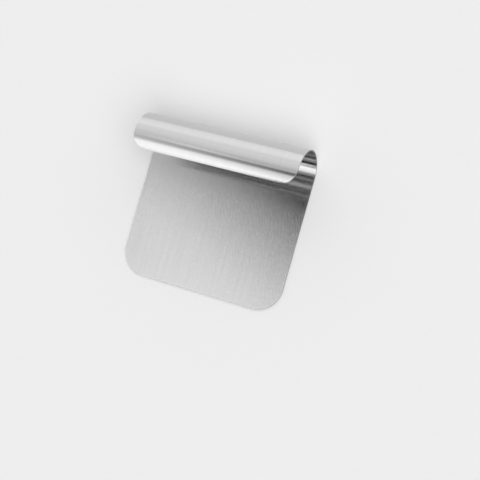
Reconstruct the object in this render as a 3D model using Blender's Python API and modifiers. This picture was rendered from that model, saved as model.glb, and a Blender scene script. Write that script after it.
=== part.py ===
"""A food scoop, also called a bench scraper: one piece of stainless sheet whose top is rolled into a handle.

The scoop lies on its flat back, as it rests on a table. X runs along its width, Y from the scooping
edge to the handle, and Z up from the back. The origin is under the middle of the scoop, in the plane
of its back. Lengths are in metres and angles in degrees.
"""

import math

import bmesh
import bpy
from mathutils import Matrix, Vector

# Sheet
SHEET_THICKNESS = 0.0010
SCOOP_WIDTH = 0.150
EDGE_ROUNDING = 0.0002

# Blade: the flat run from the scooping edge to where the roll begins
BLADE_LENGTH = 0.114
BLADE_CORNER_RADIUS = 0.022

# Handle: the roll, measured on its outer face, and how far it curls under past its foremost line
HANDLE_RADIUS = 0.0215
CURL_UNDER = 33.0
LIP_CORNER_RADIUS = 0.014

# Fineness of the round parts
ROLL_STEPS_IN_QUARTER = 18
CORNER_STEPS = 12
ROUNDING_STEPS = 2
SHARPEST_SMOOTH_ANGLE = 30.0
SAME_PLACE = 0.00002

# Finish of brushed 18/10 stainless steel
STEEL_COLOUR = (0.56, 0.56, 0.55, 1.0)
STEEL_ROUGHNESS = 0.32
STEEL_METALLIC = 1.0

# Lengths that follow from the sizes above
HALF_TURN = 180.0
HANDLE_TURN = math.radians(HALF_TURN + CURL_UNDER)
SHEET_LENGTH = BLADE_LENGTH + HANDLE_RADIUS * HANDLE_TURN
SCOOP_LENGTH = BLADE_LENGTH + HANDLE_RADIUS


def clear_scene() -> None:
    """Removes every object and material that the file holds."""
    for old in list(bpy.data.objects):
        bpy.data.objects.remove(old, do_unlink=True)
    for old in list(bpy.data.materials):
        bpy.data.materials.remove(old)


def brushed_steel() -> bpy.types.Material:
    """The scoop's one material, a grey metal with a soft gloss."""
    steel = bpy.data.materials.new("brushed_stainless_steel")
    steel.use_nodes = True
    shader = steel.node_tree.nodes["Principled BSDF"]
    shader.inputs["Base Color"].default_value = STEEL_COLOUR
    shader.inputs["Roughness"].default_value = STEEL_ROUGHNESS
    shader.inputs["Metallic"].default_value = STEEL_METALLIC
    steel.diffuse_color = STEEL_COLOUR
    return steel


def corners_at(blank: bmesh.types.BMesh, along: float) -> list[bmesh.types.BMVert]:
    """The blank's two square corners at a distance from the scooping edge."""
    return [corner for corner in blank.verts if abs(corner.co.y - along) < SAME_PLACE]


def round_corners(blank: bmesh.types.BMesh, along: float, radius: float) -> None:
    """Rounds the blank's two corners at a distance from the scooping edge."""
    bmesh.ops.bevel(
        blank,
        geom=corners_at(blank, along),
        affect="VERTICES",
        offset=radius,
        offset_type="OFFSET",
        segments=CORNER_STEPS,
        profile=0.5,
        material=-1,
    )


def flat_blank() -> bmesh.types.BMesh:
    """The sheet as it is cut, before it is rolled: a rectangle with four rounded corners."""
    blank = bmesh.new()
    bmesh.ops.create_grid(blank, x_segments=1, y_segments=1, size=0.5)
    size = Matrix.Diagonal((SCOOP_WIDTH, SHEET_LENGTH, 1.0, 1.0))
    place = Matrix.Translation((0.0, SHEET_LENGTH / 2, 0.0))
    bmesh.ops.transform(blank, matrix=place @ size, verts=blank.verts)
    round_corners(blank, 0.0, BLADE_CORNER_RADIUS)
    round_corners(blank, SHEET_LENGTH, LIP_CORNER_RADIUS)
    return blank


def bend_lines(blank: bmesh.types.BMesh) -> list[float]:
    """Where the sheet bends, as distances from the scooping edge.

    Every point of the lip's rounded corners lies on a bend line, so that each strip between two
    lines stays flat. The rest of the roll has even steps.
    """
    lines = []
    for outline_point in sorted(point.co.y for point in blank.verts):
        in_roll = BLADE_LENGTH < outline_point < SHEET_LENGTH - SAME_PLACE
        if in_roll and (not lines or outline_point - lines[-1] > SAME_PLACE):
            lines.append(outline_point)
    step = HANDLE_RADIUS * math.radians(HALF_TURN / 2) / ROLL_STEPS_IN_QUARTER
    steps_in_roll = math.ceil((SHEET_LENGTH - BLADE_LENGTH) / step)
    for number in range(steps_in_roll):
        line = BLADE_LENGTH + number * step
        if all(abs(line - other) > step / 4 for other in lines):
            lines.append(line)
    return sorted(lines)


def rolled(along: float) -> tuple[float, float]:
    """Where the sheet's outer face lies after rolling.

    Args:
        along: The distance from the scooping edge, measured on the outer face.

    Returns:
        The distance from the scooping edge along the back, and the height above the back.
    """
    if along <= BLADE_LENGTH:
        return along, 0.0
    turn = (along - BLADE_LENGTH) / HANDLE_RADIUS
    return BLADE_LENGTH + HANDLE_RADIUS * math.sin(turn), HANDLE_RADIUS * (1 - math.cos(turn))


def rolled_sheet() -> bpy.types.Mesh:
    """The outer face of the whole scoop: the cut blank, creased at its bend lines and rolled."""
    sheet = flat_blank()
    for line in bend_lines(sheet):
        bmesh.ops.bisect_plane(
            sheet,
            geom=sheet.verts[:] + sheet.edges[:] + sheet.faces[:],
            dist=SAME_PLACE / 2,
            plane_co=Vector((0.0, line, 0.0)),
            plane_no=Vector((0.0, 1.0, 0.0)),
        )
    for point in sheet.verts:
        reach, height = rolled(point.co.y)
        point.co = Vector((point.co.x, reach - SCOOP_LENGTH / 2, height))
    bmesh.ops.recalc_face_normals(sheet, faces=sheet.faces)
    if max(sheet.faces, key=lambda face: face.calc_area()).normal.z > 0:
        bmesh.ops.reverse_faces(sheet, faces=sheet.faces)
    mesh = bpy.data.meshes.new("blade_with_rolled_handle")
    sheet.to_mesh(mesh)
    sheet.free()
    return mesh


def blade_with_rolled_handle(parts: bpy.types.Collection) -> bpy.types.Object:
    """The scoop's one piece: the rolled sheet with its thickness and its softened edges."""
    scoop = bpy.data.objects.new("blade_with_rolled_handle", rolled_sheet())
    parts.objects.link(scoop)
    scoop.data.materials.append(brushed_steel())

    thickness = scoop.modifiers.new("sheet_thickness", "SOLIDIFY")
    thickness.thickness = SHEET_THICKNESS
    thickness.offset = -1.0
    thickness.use_even_offset = True
    thickness.use_quality_normals = True

    rounding = scoop.modifiers.new("edge_rounding", "BEVEL")
    rounding.width = EDGE_ROUNDING
    rounding.segments = ROUNDING_STEPS
    rounding.limit_method = "ANGLE"
    rounding.angle_limit = math.radians(SHARPEST_SMOOTH_ANGLE)

    scoop.data.shade_smooth()
    scoop.data.set_sharp_from_angle(angle=math.radians(SHARPEST_SMOOTH_ANGLE))
    return scoop


def main() -> None:
    """Builds the scoop in a collection of its own."""
    clear_scene()
    parts = bpy.data.collections.new("food_scoop")
    bpy.context.scene.collection.children.link(parts)
    blade_with_rolled_handle(parts)


if __name__ == "__main__":
    main()
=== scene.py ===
"""The food scoop in its finish, with the studio and the camera round it.

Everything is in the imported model's frame, in metres. The scoop lies on its flat back: X runs along
its width, Y from the scooping edge to the handle, and Z up from the back.
"""

import logging
import math
from dataclasses import dataclass
from enum import Enum, IntEnum

import bmesh
import bpy
from mathutils import Matrix, Vector


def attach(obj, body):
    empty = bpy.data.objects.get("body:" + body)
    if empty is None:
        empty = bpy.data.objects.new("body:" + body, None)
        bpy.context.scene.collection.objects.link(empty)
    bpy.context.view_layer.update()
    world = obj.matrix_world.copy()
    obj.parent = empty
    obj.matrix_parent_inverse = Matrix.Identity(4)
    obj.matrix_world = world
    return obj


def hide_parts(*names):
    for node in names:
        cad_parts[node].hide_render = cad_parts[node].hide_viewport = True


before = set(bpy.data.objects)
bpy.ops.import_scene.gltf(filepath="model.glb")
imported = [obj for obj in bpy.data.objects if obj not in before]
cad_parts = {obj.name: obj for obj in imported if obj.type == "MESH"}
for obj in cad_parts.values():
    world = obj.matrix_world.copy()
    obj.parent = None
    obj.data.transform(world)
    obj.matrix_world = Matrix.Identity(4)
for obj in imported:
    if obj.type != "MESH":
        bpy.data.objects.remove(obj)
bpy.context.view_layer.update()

logging.basicConfig(level=logging.INFO, format="%(message)s")
log = logging.getLogger("food_scoop")

MILLIMETRE = 0.001
SHEET_MAP = "sheet_metres"

# The span that a noise texture's values rarely leave
NOISE_LOW = 0.3
NOISE_HIGH = 0.7

# The sRGB curve: a straight toe, then a power
FULL_BYTE = 255
SRGB_TOE_END = 0.04045
SRGB_TOE_SLOPE = 12.92
SRGB_OFFSET = 0.055
SRGB_POWER = 2.4

# What Blender's tools take: half the side of a unit square, a round bevel, a bevel that keeps its
# material, and a wall that grows inwards from the outer face
HALF_UNIT = 0.5
ROUND_PROFILE = 0.5
SAME_MATERIAL = -1
INWARDS = -1.0

ALONG_SHEET = Vector((0.0, 1.0, 0.0))

Tree = bpy.types.NodeTree
Socket = bpy.types.NodeSocket


def srgb(hex_colour: str) -> tuple[float, float, float, float]:
    """Turns an sRGB hex colour into linear red, green, blue and alpha.

    Args:
        hex_colour: The colour as #rrggbb.

    Returns:
        The linear colour, opaque.
    """
    channels = [int(hex_colour[place : place + 2], 16) / FULL_BYTE for place in (1, 3, 5)]
    linear = [
        channel / SRGB_TOE_SLOPE
        if channel <= SRGB_TOE_END
        else ((channel + SRGB_OFFSET) / (1 + SRGB_OFFSET)) ** SRGB_POWER
        for channel in channels
    ]
    return (linear[0], linear[1], linear[2], 1.0)


def add_node(
    tree: Tree,
    kind: str,
    settings: dict[str, object] | None = None,
    inputs: dict[str | int, object] | None = None,
) -> bpy.types.Node:
    """Adds a node with its settings, its values and its links.

    Args:
        tree: The node tree that takes the node.
        kind: The node's type.
        settings: The node's own properties, by name.
        inputs: What each input takes, by name or number: a value, or the output that feeds it.

    Returns:
        The new node.
    """
    node = tree.nodes.new(kind)
    for name, value in (settings or {}).items():
        setattr(node, name, value)
    for name, value in (inputs or {}).items():
        if isinstance(value, Socket):
            tree.links.new(value, node.inputs[name])
        else:
            node.inputs[name].default_value = value
    return node


def new_material(name: str) -> bpy.types.Material:
    """Makes a material with no nodes in it yet.

    Args:
        name: The material's name.

    Returns:
        The material.
    """
    material = bpy.data.materials.new(name)
    material.use_nodes = True
    material.node_tree.nodes.clear()
    return material


def light_only(lamp: bpy.types.Object, lit: bpy.types.Object) -> None:
    """Lets a lamp light one object and nothing else.

    Args:
        lamp: The lamp.
        lit: The object that it lights.
    """
    only = bpy.data.collections.new(lamp.name + "_lights")
    only.objects.link(lit)
    lamp.light_linking.receiver_collection = only


class Join(Enum):
    """How several values make one, as the Math node names it."""

    PRODUCT = "MULTIPLY"
    HIGHEST = "MAXIMUM"


def joined(tree: Tree, how: Join, values: list[Socket]) -> Socket:
    """Adds the product or the highest of several values.

    Args:
        tree: The node tree that takes the nodes.
        how: How the values make one.
        values: The values.

    Returns:
        The one value.
    """
    result = values[0]
    for value in values[1:]:
        result = add_node(
            tree, "ShaderNodeMath", {"operation": how.value}, {0: result, 1: value}
        ).outputs[0]
    return result


def mottled(tree: Tree, patch_mm: float, detail: float, middle: float, spread: float) -> Socket:
    """Adds a value that varies in patches all over a piece.

    Args:
        tree: The material's nodes.
        patch_mm: The patches' size in millimetres.
        detail: How many finer layers the patches have.
        middle: The value's middle.
        spread: How far it goes either way.

    Returns:
        The value.
    """
    place = add_node(tree, "ShaderNodeTexCoord").outputs["Object"]
    noise = add_node(
        tree,
        "ShaderNodeTexNoise",
        inputs={"Vector": place, "Scale": 1 / (patch_mm * MILLIMETRE), "Detail": detail},
    ).outputs["Fac"]
    return add_node(
        tree,
        "ShaderNodeMapRange",
        inputs={
            "Value": noise,
            "From Min": NOISE_LOW,
            "From Max": NOISE_HIGH,
            "To Min": middle - spread,
            "To Max": middle + spread,
        },
    ).outputs["Result"]


def shade(tree: Tree, inputs: dict[str | int, object]) -> None:
    """Adds a material's shader and joins it to the material's output.

    Args:
        tree: The material's nodes.
        inputs: What each of the shader's inputs takes, by name.
    """
    shader = add_node(tree, "ShaderNodeBsdfPrincipled", inputs=inputs)
    add_node(tree, "ShaderNodeOutputMaterial", inputs={"Surface": shader.outputs["BSDF"]})


@dataclass(frozen=True)
class CutEnd:
    """One end of the cut sheet, with its rounded corners and the sides that run up to them.

    Its sizes are those of the sheet's own map, in metres. Outwards is the sign of the way along
    the sheet that leads out over this end.
    """

    half_width: float
    end: float
    corner_radius: float
    outwards: float

    def nearness(self, tree: Tree, place: Socket, reach: float) -> Socket:
        """Adds how near a place is to the cut edge.

        Args:
            tree: The material's nodes.
            place: The sheet's own map.
            reach: How far from the edge the nearness begins.

        Returns:
            One at the edge, falling to zero at the reach.
        """
        radius = self.corner_radius
        mirrored = add_node(
            tree, "ShaderNodeVectorMath", {"operation": "ABSOLUTE"}, {0: place}
        ).outputs["Vector"]
        past_centre = add_node(
            tree,
            "ShaderNodeVectorMath",
            {"operation": "MULTIPLY_ADD"},
            {
                0: mirrored,
                1: (1.0, self.outwards, 0.0),
                2: (radius - self.half_width, radius - self.outwards * self.end, 0.0),
            },
        ).outputs["Vector"]
        outside = add_node(
            tree,
            "ShaderNodeVectorMath",
            {"operation": "MAXIMUM"},
            {0: past_centre, 1: (0.0, 0.0, 0.0)},
        ).outputs["Vector"]
        from_centre = add_node(
            tree, "ShaderNodeVectorMath", {"operation": "LENGTH"}, {0: outside}
        ).outputs["Value"]
        return add_node(
            tree,
            "ShaderNodeMapRange",
            {"interpolation_type": "SMOOTHSTEP"},
            {"Value": from_centre, "From Min": radius - reach, "From Max": radius},
        ).outputs["Result"]


@dataclass(frozen=True)
class BrushedSteel:
    """18/10 stainless steel sheet, belt brushed along its length before it is rolled.

    The fine parallel scratches smear every reflection across them, so the blade shows soft
    gradients from side to side and still mirrors the lip above it as a crisp line. Short light
    and dark specks between them give it a satin look. Rolling smooths both, so they are fainter
    from where the roll begins. Use has rubbed a narrow, patchy strip along the cut edges lighter
    and duller.
    """

    ends: tuple[CutEnd, ...]
    name: str = "brushed_stainless_steel"
    colour: str = "#cccccc"
    colour_spread: float = 0.012
    roughness: float = 0.18
    roughness_spread: float = 0.05
    anisotropy: float = 0.88
    # Real brush lines and specks are under 0.1 mm wide, too fine to show, so they are drawn coarser
    scratch_width_mm: float = 0.42
    scratch_length_mm: float = 5.0
    scratch_depth_mm: float = 0.10
    streak_detail: float = 1.0
    speck_width_mm: float = 0.4
    speck_length_mm: float = 1.5
    speck_contrast: float = 0.045
    band_width_mm: float = 3.0
    band_length_mm: float = 60.0
    full_grain_to_mm: float = 83.0
    soft_grain_from_mm: float = 93.0
    soft_grain_share: float = 0.12
    wear_width_mm: float = 2.5
    wear_patch_mm: float = 5.0
    wear_roughness: float = 0.07
    wear_lightness: float = 0.05

    def material(self) -> bpy.types.Material:
        """Makes the material.

        Returns:
            The material.
        """
        steel = new_material(self.name)
        tree = steel.node_tree
        place = add_node(tree, "ShaderNodeUVMap", {"uv_map": SHEET_MAP}).outputs["UV"]
        scratches = self.streaks(tree, place, self.scratch_width_mm, self.scratch_length_mm)
        bands = self.streaks(tree, place, self.band_width_mm, self.band_length_mm)
        wear = self.wear(tree, place)
        share = self.grain_share(tree, place)
        # The tangent lies across the sheet, and the brush lines draw every highlight out along it
        across = add_node(
            tree, "ShaderNodeTangent", {"direction_type": "UV_MAP", "uv_map": SHEET_MAP}
        ).outputs["Tangent"]
        even = self.worn(tree, bands, 1.0, self.colour_spread, wear, self.wear_lightness)
        tint = joined(tree, Join.PRODUCT, [even, self.specks(tree, place, share)])
        colour = add_node(
            tree,
            "ShaderNodeVectorMath",
            {"operation": "SCALE"},
            {0: srgb(self.colour)[:3], "Scale": tint},
        ).outputs["Vector"]
        roughness = self.worn(
            tree, scratches, self.roughness, self.roughness_spread, wear, self.wear_roughness
        )
        shade(
            tree,
            {
                "Base Color": colour,
                "Metallic": 1.0,
                "Roughness": roughness,
                "Anisotropic": self.anisotropy,
                "Normal": self.relief(tree, scratches, share),
                "Tangent": across,
            },
        )
        return steel

    def streaks(self, tree: Tree, place: Socket, width: float, length: float) -> Socket:
        """Adds noise that is drawn out along the sheet.

        Args:
            tree: The material's nodes.
            place: The sheet's own map, in metres.
            width: A streak's width in millimetres.
            length: A streak's length in millimetres.

        Returns:
            The noise, from 0 to 1.
        """
        stretched = add_node(
            tree,
            "ShaderNodeVectorMath",
            {"operation": "MULTIPLY"},
            {0: place, 1: (1 / (width * MILLIMETRE), 1 / (length * MILLIMETRE), 0.0)},
        ).outputs["Vector"]
        return add_node(
            tree,
            "ShaderNodeTexNoise",
            {"noise_dimensions": "2D"},
            {"Vector": stretched, "Scale": 1.0, "Detail": self.streak_detail},
        ).outputs["Fac"]

    def wear(self, tree: Tree, place: Socket) -> Socket:
        """Adds how worn a place is.

        Args:
            tree: The material's nodes.
            place: The sheet's own map, in metres.

        Returns:
            The wear: zero in the middle of a face, up to one in patches at its cut edges.
        """
        reach = self.wear_width_mm * MILLIMETRE
        near = joined(tree, Join.HIGHEST, [end.nearness(tree, place, reach) for end in self.ends])
        patches = self.streaks(tree, place, self.wear_patch_mm, self.wear_patch_mm)
        return joined(tree, Join.PRODUCT, [near, patches])

    def worn(
        self, tree: Tree, noise: Socket, middle: float, spread: float, wear: Socket, added: float
    ) -> Socket:
        """Adds a value that follows a noise and rises where the sheet is worn.

        Args:
            tree: The material's nodes.
            noise: The noise that it follows.
            middle: The value's middle.
            spread: How far the noise takes it either way.
            wear: How worn the place is, from 0 to 1.
            added: How much full wear adds.

        Returns:
            The value.
        """
        even = add_node(
            tree,
            "ShaderNodeMapRange",
            inputs={
                "Value": noise,
                "From Min": NOISE_LOW,
                "From Max": NOISE_HIGH,
                "To Min": middle - spread,
                "To Max": middle + spread,
            },
        ).outputs["Result"]
        return add_node(
            tree, "ShaderNodeMath", {"operation": "MULTIPLY_ADD"}, {0: wear, 1: added, 2: even}
        ).outputs[0]

    def grain_share(self, tree: Tree, place: Socket) -> Socket:
        """Adds how much of its grain the sheet keeps where it is rolled.

        Args:
            tree: The material's nodes.
            place: The sheet's own map, in metres.

        Returns:
            One on the blade, and the roll's own share from where the roll begins.
        """
        along = add_node(tree, "ShaderNodeSeparateXYZ", inputs={"Vector": place}).outputs["Y"]
        return add_node(
            tree,
            "ShaderNodeMapRange",
            inputs={
                "Value": along,
                "From Min": self.full_grain_to_mm * MILLIMETRE,
                "From Max": self.soft_grain_from_mm * MILLIMETRE,
                "To Min": 1.0,
                "To Max": self.soft_grain_share,
            },
        ).outputs["Result"]

    def specks(self, tree: Tree, place: Socket, share: Socket) -> Socket:
        """Adds the light and dark specks between the scratches.

        Args:
            tree: The material's nodes.
            place: The sheet's own map, in metres.
            share: How much of its grain the sheet keeps there.

        Returns:
            What the colour is multiplied by, round one.
        """
        noise = self.streaks(tree, place, self.speck_width_mm, self.speck_length_mm)
        swing = add_node(
            tree,
            "ShaderNodeMapRange",
            inputs={
                "Value": noise,
                "From Min": NOISE_LOW,
                "From Max": NOISE_HIGH,
                "To Min": -self.speck_contrast,
                "To Max": self.speck_contrast,
            },
        ).outputs["Result"]
        return add_node(
            tree, "ShaderNodeMath", {"operation": "MULTIPLY_ADD"}, {0: swing, 1: share, 2: 1.0}
        ).outputs[0]

    def relief(self, tree: Tree, scratches: Socket, share: Socket) -> Socket:
        """Adds the scratches' depth.

        Args:
            tree: The material's nodes.
            scratches: The scratches' noise.
            share: How much of its grain the sheet keeps there.

        Returns:
            The surface's normal.
        """
        return add_node(
            tree,
            "ShaderNodeBump",
            inputs={
                "Strength": share,
                "Distance": self.scratch_depth_mm * MILLIMETRE,
                "Height": scratches,
            },
        ).outputs["Normal"]


@dataclass(frozen=True)
class EdgeSteel:
    """Steel along the sheet's cut edge, unevenly dulled by how it was worked."""

    name: str
    colour: str
    roughness: float
    roughness_spread: float
    # Real pits and grinding lines are under 0.1 mm, too fine to show, so they are drawn coarser
    grind_mm: float = 0.6
    grind_detail: float = 2.0

    def material(self) -> bpy.types.Material:
        """Makes the material.

        Returns:
            The material.
        """
        steel = new_material(self.name)
        tree = steel.node_tree
        roughness = mottled(
            tree, self.grind_mm, self.grind_detail, self.roughness, self.roughness_spread
        )
        shade(tree, {"Base Color": srgb(self.colour), "Metallic": 1.0, "Roughness": roughness})
        return steel


# The rounding that deburring leaves: polished, and given a lighter colour than the face as a painted
# highlight, so it draws a thin light line round the sheet
DEBURRED_EDGE_PAINTED_HIGHLIGHT = EdgeSteel(
    "deburred_steel_edge_painted_highlight", colour="#d6d6d4", roughness=0.22, roughness_spread=0.03
)

# The flat of the rim, where the press tore the sheet: dull, and painted dark grey as painted shade,
# so it mirrors in the blade as a dark line like the lip's shadowed underside
BLANKED_RIM_PAINTED_SHADE = EdgeSteel(
    "blanked_steel_rim_painted_shade", colour="#858583", roughness=0.42, roughness_spread=0.06
)


@dataclass(frozen=True)
class MattCard:
    """White studio card with a fine tooth, which takes a soft shadow and gives no shine."""

    name: str = "matt_white_card"
    colour: str = "#f0f0f0"
    colour_spread: float = 0.006
    roughness: float = 0.9
    # A real card's tooth is about 0.2 mm, too fine to show, so it is drawn coarser
    tooth_mm: float = 2.0
    tooth_detail: float = 1.0

    def material(self) -> bpy.types.Material:
        """Makes the material.

        Returns:
            The material.
        """
        card = new_material(self.name)
        tree = card.node_tree
        tint = mottled(tree, self.tooth_mm, self.tooth_detail, 1.0, self.colour_spread)
        colour = add_node(
            tree,
            "ShaderNodeVectorMath",
            {"operation": "SCALE"},
            {0: srgb(self.colour)[:3], "Scale": tint},
        ).outputs["Vector"]
        shade(tree, {"Base Color": colour, "Roughness": self.roughness, "Specular IOR Level": 0.0})
        return card


class Finish(IntEnum):
    """The sheet's finishes, in the order of its material slots."""

    BRUSHED_FACE = 0
    DEBURRED_EDGE_PAINTED_HIGHLIGHT = 1
    BLANKED_RIM_PAINTED_SHADE = 2


@dataclass
class RolledSheet:
    """The scoop's one sheet: a flat blade whose top is rolled forward into an open handle.

    Its sizes are in metres and its angles in radians. The handle's radius is that of its outer
    face, and its turn is how far it curls round from the blade to the lip.
    """

    name: str = "rolled_sheet"
    cad_node: str = "blade_with_rolled_handle"
    slot: str = "steel"
    width: float = 0.150
    thickness: float = 0.0010
    edge_rounding: float = 0.00022
    blade_length: float = 0.114
    blade_corner_radius: float = 0.022
    handle_radius: float = 0.0215
    handle_turn: float = math.radians(213.0)
    lip_corner_radius: float = 0.014
    corner_steps: int = 24
    roll_steps: int = 140
    rounding_steps: int = 3
    sharpest_smooth_angle: float = math.radians(40.0)
    same_place: float = 0.00001

    @property
    def sheet_length(self) -> float:
        """The length of the cut blank."""
        return self.blade_length + self.handle_radius * self.handle_turn

    @property
    def ends(self) -> tuple[CutEnd, CutEnd]:
        """The blank's two ends: the scooping edge and the lip."""
        half_width = self.width / 2
        return (
            CutEnd(half_width, end=0.0, corner_radius=self.blade_corner_radius, outwards=-1.0),
            CutEnd(
                half_width,
                end=self.sheet_length,
                corner_radius=self.lip_corner_radius,
                outwards=1.0,
            ),
        )

    @property
    def scoop_length(self) -> float:
        """The length from the scooping edge to the back of the handle."""
        return self.blade_length + self.handle_radius

    def build(self) -> bpy.types.Object:
        """Builds and dresses the sheet, and lets it stand for its CAD node.

        Returns:
            The finished piece.
        """
        sheet = self.blank()
        self.crease(sheet)
        self.roll(sheet)
        mesh = bpy.data.meshes.new(self.name)
        sheet.to_mesh(mesh)
        sheet.free()
        piece = bpy.data.objects.new(self.name, mesh)
        bpy.context.scene.collection.objects.link(piece)
        self.dress(piece)
        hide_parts(self.cad_node)
        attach(piece, "root")
        return piece

    def blank(self) -> bmesh.types.BMesh:
        """Cuts the flat sheet: a rectangle with four rounded corners.

        Returns:
            The flat sheet.
        """
        sheet = bmesh.new()
        bmesh.ops.create_grid(sheet, x_segments=1, y_segments=1, size=HALF_UNIT)
        size = Matrix.Diagonal((self.width, self.sheet_length, 1.0, 1.0))
        place = Matrix.Translation((0.0, self.sheet_length / 2, 0.0))
        bmesh.ops.transform(sheet, matrix=place @ size, verts=sheet.verts)
        self.round_corners(sheet, 0.0, self.blade_corner_radius)
        self.round_corners(sheet, self.sheet_length, self.lip_corner_radius)
        return sheet

    def round_corners(self, sheet: bmesh.types.BMesh, along: float, radius: float) -> None:
        """Rounds the blank's two corners at a distance from the scooping edge.

        Args:
            sheet: The flat blank.
            along: The distance of the two corners from the scooping edge.
            radius: The corners' radius.
        """
        corners = [point for point in sheet.verts if abs(point.co.y - along) < self.same_place]
        bmesh.ops.bevel(
            sheet,
            geom=corners,
            affect="VERTICES",
            offset=radius,
            offset_type="OFFSET",
            segments=self.corner_steps,
            profile=ROUND_PROFILE,
            material=SAME_MATERIAL,
        )

    def crease(self, sheet: bmesh.types.BMesh) -> None:
        """Cuts the blank along the lines where it bends, and gives it its map.

        Args:
            sheet: The flat blank.
        """
        step = self.handle_radius * self.handle_turn / self.roll_steps
        lines = [self.blade_length + step * number for number in range(self.roll_steps)]
        for line in lines:
            bmesh.ops.bisect_plane(
                sheet,
                geom=sheet.verts[:] + sheet.edges[:] + sheet.faces[:],
                dist=self.same_place,
                plane_co=Vector((0.0, line, 0.0)),
                plane_no=ALONG_SHEET,
            )
        layer = sheet.loops.layers.uv.new(SHEET_MAP)
        for face in sheet.faces:
            for corner in face.loops:
                corner[layer].uv = corner.vert.co.xy

    def roll(self, sheet: bmesh.types.BMesh) -> None:
        """Bends the creased blank into the handle and turns its face outwards.

        Args:
            sheet: The creased blank.
        """
        for point in sheet.verts:
            turn = max(0.0, point.co.y - self.blade_length) / self.handle_radius
            reach = min(point.co.y, self.blade_length) + self.handle_radius * math.sin(turn)
            height = self.handle_radius * (1 - math.cos(turn))
            point.co = Vector((point.co.x, reach - self.scoop_length / 2, height))
        bmesh.ops.recalc_face_normals(sheet, faces=sheet.faces)
        if max(sheet.faces, key=lambda face: face.calc_area()).normal.z > 0:
            bmesh.ops.reverse_faces(sheet, faces=sheet.faces)

    def dress(self, piece: bpy.types.Object) -> None:
        """Gives the sheet its thickness, its softened edges and its finishes.

        Args:
            piece: The rolled sheet's outer face.
        """
        finishes = {
            Finish.BRUSHED_FACE: BrushedSteel(self.ends),
            Finish.DEBURRED_EDGE_PAINTED_HIGHLIGHT: DEBURRED_EDGE_PAINTED_HIGHLIGHT,
            Finish.BLANKED_RIM_PAINTED_SHADE: BLANKED_RIM_PAINTED_SHADE,
        }
        for finish in Finish:
            piece.data.materials.append(finishes[finish].material())
        thickness = piece.modifiers.new("sheet_thickness", "SOLIDIFY")
        thickness.thickness = self.thickness
        thickness.offset = INWARDS
        thickness.use_even_offset = True
        thickness.use_quality_normals = True
        # The rim takes the dark grey steel, whose colour is partly painted shade
        thickness.material_offset_rim = Finish.BLANKED_RIM_PAINTED_SHADE.value
        rounding = piece.modifiers.new("edge_rounding", "BEVEL")
        rounding.width = self.edge_rounding
        rounding.segments = self.rounding_steps
        rounding.limit_method = "ANGLE"
        rounding.angle_limit = self.sharpest_smooth_angle
        rounding.harden_normals = True
        # The rounding takes the lighter steel, whose colour is a painted highlight
        rounding.material = Finish.DEBURRED_EDGE_PAINTED_HIGHLIGHT.value
        piece.data.shade_smooth()


class Lean(Enum):
    """The two ways that a direction leans from overhead, by which sky panels are placed."""

    TOWARDS_HANDLE = "towards_handle"
    TO_THE_RIGHT = "to_the_right"


@dataclass(frozen=True)
class SkyPanel:
    """A far panel of soft light with soft edges.

    Each edge is given by where it is dark and where it is fully lit, in degrees from overhead,
    towards the handle or to the right. A panel with one edge is lit all the way behind it.
    """

    strength: float
    edge: tuple[float, float]
    far_edge: tuple[float, float] | None = None
    lean: Lean = Lean.TOWARDS_HANDLE

    def glow(self, tree: Tree, leans: dict[Lean, Socket]) -> Socket:
        """Adds the panel's light to the world's nodes.

        Args:
            tree: The world's nodes.
            leans: How far the direction leans each way, in radians.

        Returns:
            The panel's strength in that direction.
        """
        lit = self.fade(tree, leans[self.lean], self.edge, self.strength)
        if self.far_edge is None:
            return lit
        kept = self.fade(tree, leans[self.lean], self.far_edge, 1.0)
        return joined(tree, Join.PRODUCT, [lit, kept])

    @staticmethod
    def fade(tree: Tree, lean: Socket, edge: tuple[float, float], level: float) -> Socket:
        """Adds one soft edge.

        Args:
            tree: The world's nodes.
            lean: How far the direction leans, in radians.
            edge: Where the edge is dark and where it is fully lit, in degrees.
            level: How bright the lit side is.

        Returns:
            The level on the lit side, easing to zero on the other.
        """
        dark, full = edge
        return add_node(
            tree,
            "ShaderNodeMapRange",
            {"interpolation_type": "SMOOTHSTEP"},
            {
                "Value": lean,
                "From Min": math.radians(dark),
                "From Max": math.radians(full),
                "To Max": level,
            },
        ).outputs["Result"]


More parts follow.
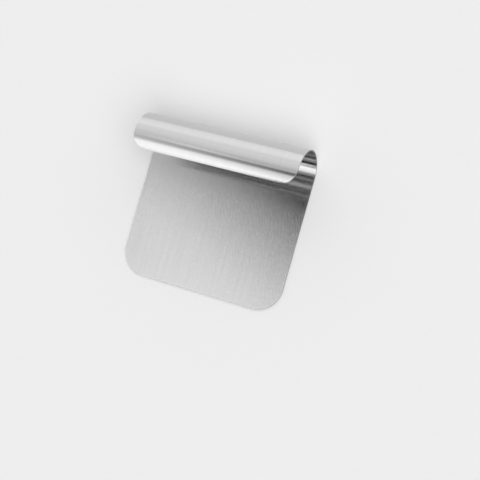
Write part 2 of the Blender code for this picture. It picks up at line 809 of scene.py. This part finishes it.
@dataclass(frozen=True)
class StudioSky:
    """The far light: soft panels overhead, and a pale band all round the horizon.

    The band is dim in front of the scoop, behind the camera, and bright on a wall to the left
    of the handle.
    """

    name: str = "studio_sky"
    horizon_colour: str = "#eeeeee"
    light_colour: str = "#ffffff"
    # Degrees above the horizon
    horizon_top: float = 10.0
    sky_from: float = 14.0
    # How far a direction points towards the handle, from -1 to 1, where the band is dim and bright
    front_level: float = 0.3
    front_edge: tuple[float, float] = (-0.7, -0.3)
    wall: SkyPanel = SkyPanel(
        strength=1.3, edge=(-15.0, -19.0), far_edge=(-45.0, -35.0), lean=Lean.TO_THE_RIGHT
    )
    panels: tuple[SkyPanel, ...] = (
        SkyPanel(strength=0.48, edge=(-15.0, -22.0), far_edge=(-56.0, -48.0)),
        SkyPanel(strength=1.2, edge=(0.0, 62.0)),
        SkyPanel(strength=0.8, edge=(-40.0, -60.0), lean=Lean.TO_THE_RIGHT),
        SkyPanel(strength=0.9, edge=(5.0, 24.0), lean=Lean.TO_THE_RIGHT),
    )

    def build(self) -> bpy.types.World:
        """Makes the world and gives it to the scene.

        Returns:
            The world.
        """
        world = bpy.data.worlds.new(self.name)
        bpy.context.scene.world = world
        world.use_nodes = True
        tree = world.node_tree
        tree.nodes.clear()
        direction = add_node(tree, "ShaderNodeTexCoord").outputs["Generated"]
        axes = add_node(tree, "ShaderNodeSeparateXYZ", inputs={"Vector": direction}).outputs
        leans = {
            Lean.TOWARDS_HANDLE: add_node(
                tree, "ShaderNodeMath", {"operation": "ARCTAN2"}, {0: axes["Y"], 1: axes["Z"]}
            ).outputs[0],
            Lean.TO_THE_RIGHT: add_node(
                tree, "ShaderNodeMath", {"operation": "ARCSINE"}, {0: axes["X"]}
            ).outputs[0],
        }
        overhead = joined(tree, Join.HIGHEST, [panel.glow(tree, leans) for panel in self.panels])
        above = add_node(
            tree,
            "ShaderNodeMapRange",
            {"interpolation_type": "SMOOTHSTEP"},
            {
                "Value": axes["Z"],
                "From Min": math.sin(math.radians(self.horizon_top)),
                "From Max": math.sin(math.radians(self.sky_from)),
            },
        ).outputs["Result"]
        strength = add_node(
            tree,
            "ShaderNodeMix",
            {"data_type": "FLOAT"},
            {"Factor": above, "A": self.horizon(tree, axes["Y"], leans), "B": overhead},
        ).outputs["Result"]
        glow = add_node(
            tree,
            "ShaderNodeBackground",
            inputs={"Color": srgb(self.light_colour), "Strength": strength},
        )
        add_node(tree, "ShaderNodeOutputWorld", inputs={"Surface": glow.outputs["Background"]})
        return world

    def horizon(self, tree: Tree, towards_handle: Socket, leans: dict[Lean, Socket]) -> Socket:
        """Adds the band round the horizon.

        Args:
            tree: The world's nodes.
            towards_handle: The direction's Y.
            leans: How far the direction leans each way, in radians.

        Returns:
            The band's strength in that direction.
        """
        band = add_node(
            tree,
            "ShaderNodeMapRange",
            {"interpolation_type": "SMOOTHSTEP"},
            {
                "Value": towards_handle,
                "From Min": self.front_edge[0],
                "From Max": self.front_edge[1],
                "To Min": self.front_level,
                "To Max": srgb(self.horizon_colour)[0],
            },
        ).outputs["Result"]
        wall = joined(tree, Join.PRODUCT, [self.wall.glow(tree, leans), towards_handle])
        return joined(tree, Join.HIGHEST, [band, wall])


class Curve(Enum):
    """How a lamp's light falls between two places on it, as the Map Range node names it."""

    STRAIGHT = "LINEAR"
    EASED = "SMOOTHSTEP"


@dataclass(frozen=True)
class Fade:
    """How a lamp dims from one place on it to another, along one way in its plane.

    The places where it is full and where it is dark are in metres from the origin. A power below
    one keeps the lamp bright for longer.
    """

    full: float
    dark: float
    way: tuple[float, float] = (0.0, 1.0)
    curve: Curve = Curve.STRAIGHT
    power: float = 1.0

    def share(self, tree: Tree, place: Socket) -> Socket:
        """Adds the fade to a lamp's nodes.

        Args:
            tree: The lamp's nodes.
            place: The place on the lamp that a ray meets.

        Returns:
            The share of the lamp's light that is left there.
        """
        along = add_node(
            tree,
            "ShaderNodeVectorMath",
            {"operation": "DOT_PRODUCT"},
            {0: place, 1: (self.way[0], self.way[1], 0.0)},
        ).outputs["Value"]
        left = add_node(
            tree,
            "ShaderNodeMapRange",
            {"interpolation_type": self.curve.value},
            {"Value": along, "From Min": self.dark, "From Max": self.full},
        ).outputs["Result"]
        return add_node(
            tree, "ShaderNodeMath", {"operation": "POWER"}, {0: left, 1: self.power}
        ).outputs[0]


@dataclass(frozen=True)
class SoftBox:
    """A soft lamp that hangs over the scoop and lights it alone.

    It reaches from one X to another across the scoop and from one Y to another along it, in
    metres. Each lamp has a height of its own, because a ray meets only one of two lamps in one
    plane.
    """

    name: str
    strength: float
    across: tuple[float, float]
    along: tuple[float, float]
    height: float
    dimmed: tuple[Fade, ...] = ()

    def build(self, lit: bpy.types.Object) -> bpy.types.Object:
        """Hangs the lamp.

        Args:
            lit: The piece that it lights.

        Returns:
            The lamp.
        """
        data = bpy.data.lights.new(self.name, "AREA")
        data.shape = "RECTANGLE"
        data.size = self.across[1] - self.across[0]
        data.size_y = self.along[1] - self.along[0]
        # An area lamp's brightness is its power over its area and over pi
        data.energy = math.pi * data.size * data.size_y * self.strength
        if self.dimmed:
            self.dim(data)
        lamp = bpy.data.objects.new(self.name, data)
        bpy.context.scene.collection.objects.link(lamp)
        lamp.location = (sum(self.across) / 2, sum(self.along) / 2, self.height)
        lamp.visible_camera = False
        light_only(lamp, lit)
        return lamp

    def dim(self, data: bpy.types.AreaLight) -> None:
        """Dims the lamp over its face.

        Args:
            data: The lamp's data.
        """
        data.use_nodes = True
        tree = data.node_tree
        tree.nodes.clear()
        place = add_node(tree, "ShaderNodeNewGeometry").outputs["Position"]
        left = joined(tree, Join.PRODUCT, [fade.share(tree, place) for fade in self.dimmed])
        glow = add_node(tree, "ShaderNodeEmission", inputs={"Strength": left})
        add_node(tree, "ShaderNodeOutputLight", inputs={"Surface": glow.outputs["Emission"]})


@dataclass(frozen=True)
class KeyLight:
    """A large far lamp that lights the floor and casts the scoop's soft shadow on it."""

    name: str = "key_light"
    strength: float = 1.44
    spread_degrees: float = 60.0
    comes_from: tuple[float, float, float] = (0.5, -0.25, 0.8)

    def build(self, lit: bpy.types.Object) -> bpy.types.Object:
        """Hangs the lamp.

        Args:
            lit: The floor that it lights.

        Returns:
            The lamp.
        """
        data = bpy.data.lights.new(self.name, "SUN")
        data.energy = self.strength
        data.angle = math.radians(self.spread_degrees)
        lamp = bpy.data.objects.new(self.name, data)
        lamp.rotation_euler = Vector(self.comes_from).to_track_quat("Z", "Y").to_euler()
        bpy.context.scene.collection.objects.link(lamp)
        light_only(lamp, lit)
        return lamp


@dataclass
class Studio:
    """The pale floor that the scoop lies on and the soft light round it."""

    scoop: bpy.types.Object
    floor_name: str = "studio_floor"
    floor_radius: float = 12.0
    floor_height: float = -0.0002
    floor_steps: int = 96
    boxes: tuple[SoftBox, ...] = (
        SoftBox(
            "overhead_box",
            strength=1.05,
            across=(-0.24, 0.16),
            along=(-0.11, 0.08),
            height=0.150,
            dimmed=(Fade(full=-0.070, dark=0.044, way=(0.41, 1.0), power=0.75),),
        ),
        SoftBox(
            "front_box",
            strength=1.38,
            across=(-0.24, -0.03),
            along=(-0.25, -0.11),
            height=0.150,
        ),
        SoftBox(
            "front_fill",
            strength=0.10,
            across=(-0.24, -0.03),
            along=(-0.11, -0.05),
            height=0.152,
            dimmed=(Fade(full=-0.09, dark=-0.05),),
        ),
        SoftBox(
            "handle_strip",
            strength=0.64,
            across=(-0.24, 0.16),
            along=(0.036, 0.0705),
            height=0.090,
            dimmed=(
                Fade(full=0.09, dark=0.20, way=(-1.0, 1.0)),
                Fade(full=0.0447, dark=0.0377, way=(0.04, 1.0), curve=Curve.EASED),
                Fade(full=0.0515, dark=0.0705, curve=Curve.EASED),
            ),
        ),
        SoftBox(
            "back_box",
            strength=0.60,
            across=(-0.24, 0.16),
            along=(0.058, 0.162),
            height=0.148,
            dimmed=(
                Fade(full=0.088, dark=0.162),
                Fade(full=0.092, dark=0.058, curve=Curve.EASED),
            ),
        ),
    )
    key: KeyLight = KeyLight()
    sky: StudioSky = StudioSky()

    def build(self) -> bpy.types.Object:
        """Builds the floor and lights the scene.

        Returns:
            The floor.
        """
        disc = bmesh.new()
        bmesh.ops.create_circle(
            disc, cap_ends=True, segments=self.floor_steps, radius=self.floor_radius
        )
        bmesh.ops.translate(disc, verts=disc.verts, vec=(0.0, 0.0, self.floor_height))
        mesh = bpy.data.meshes.new(self.floor_name)
        disc.to_mesh(mesh)
        disc.free()
        floor = bpy.data.objects.new(self.floor_name, mesh)
        bpy.context.scene.collection.objects.link(floor)
        floor.data.materials.append(MattCard().material())
        self.sky.build()
        self.key.build(floor)
        for box in self.boxes:
            box.build(self.scoop)
        return floor


@dataclass
class ProductCamera:
    """The camera, at the photograph's place and with its field of view."""

    name: str = "product_camera"
    place: tuple[float, float, float] = (0.368973, -0.035629, 0.809445)
    aim: tuple[float, float, float] = (0.026022, -0.016085, 0.0)
    roll_degrees: float = 15.971
    lens_mm: float = 79.27
    sensor_mm: float = 36.0

    def build(self) -> bpy.types.Object:
        """Builds the camera and makes it the scene's own.

        Returns:
            The camera.
        """
        data = bpy.data.cameras.new(self.name)
        data.lens = self.lens_mm
        data.sensor_width = self.sensor_mm
        camera = bpy.data.objects.new(self.name, data)
        bpy.context.scene.collection.objects.link(camera)
        place = Vector(self.place)
        forward = (Vector(self.aim) - place).normalized()
        level = forward.cross(ALONG_SHEET).normalized()
        turn = Matrix.Rotation(-math.radians(self.roll_degrees), 4, forward)
        right = turn @ level
        upwards = right.cross(forward)
        camera.matrix_world = Matrix.Translation(place) @ Matrix(
            (right, upwards, -forward)
        ).transposed().to_4x4()
        bpy.context.scene.camera = camera
        return camera


def main() -> None:
    """Builds the scoop, the studio and the camera, and reports each piece."""
    bpy.context.scene.view_settings.view_transform = "Standard"
    scoop = RolledSheet().build()
    log.info("built %s", scoop.name)
    floor = Studio(scoop).build()
    log.info("built %s", floor.name)
    camera = ProductCamera().build()
    log.info("built %s", camera.name)


if __name__ == "__main__":
    main()
